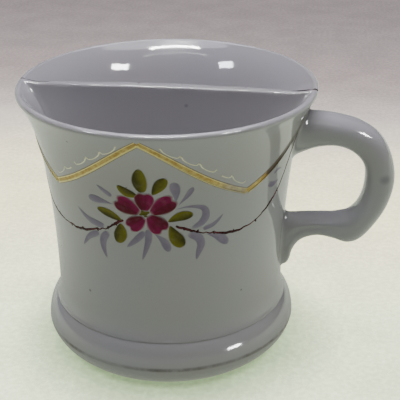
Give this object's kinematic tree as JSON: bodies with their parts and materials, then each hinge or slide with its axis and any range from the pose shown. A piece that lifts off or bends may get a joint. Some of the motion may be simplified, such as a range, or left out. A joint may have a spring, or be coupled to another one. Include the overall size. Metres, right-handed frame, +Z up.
{
  "type": "shaving mug",
  "caption": "Footed ceramic shaving mug with a flared lip, a looped handle, and a low divider that separates a drained soap shelf from the brush side.",
  "frame": {"origin": "on the cup's axis, in the plane that the foot ring stands on", "axes": "+Z up along the cup's axis, +X towards the handle, +Y towards the soap side, -Y towards the brush side"},
  "size_m": [0.1202, 0.0948, 0.091],
  "materials": {
    "glaze": "glossy, greyish white",
    "biscuit": "unglazed, matt",
    "enamel_petal": "satin overglaze enamel",
    "enamel_leaf": "satin overglaze enamel",
    "enamel_shadow": "satin overglaze enamel",
    "enamel_vine": "satin overglaze enamel",
    "gilt": "thin worn gilding"
  },
  "bodies": {
    "root": {"cup_wall": "glaze", "base_roll": "glaze", "cup_floor": "glaze", "divider": "glaze", "soap_shelf": "glaze", "handle": "glaze", "foot_ring": "biscuit"}
  },
  "joints": []
}
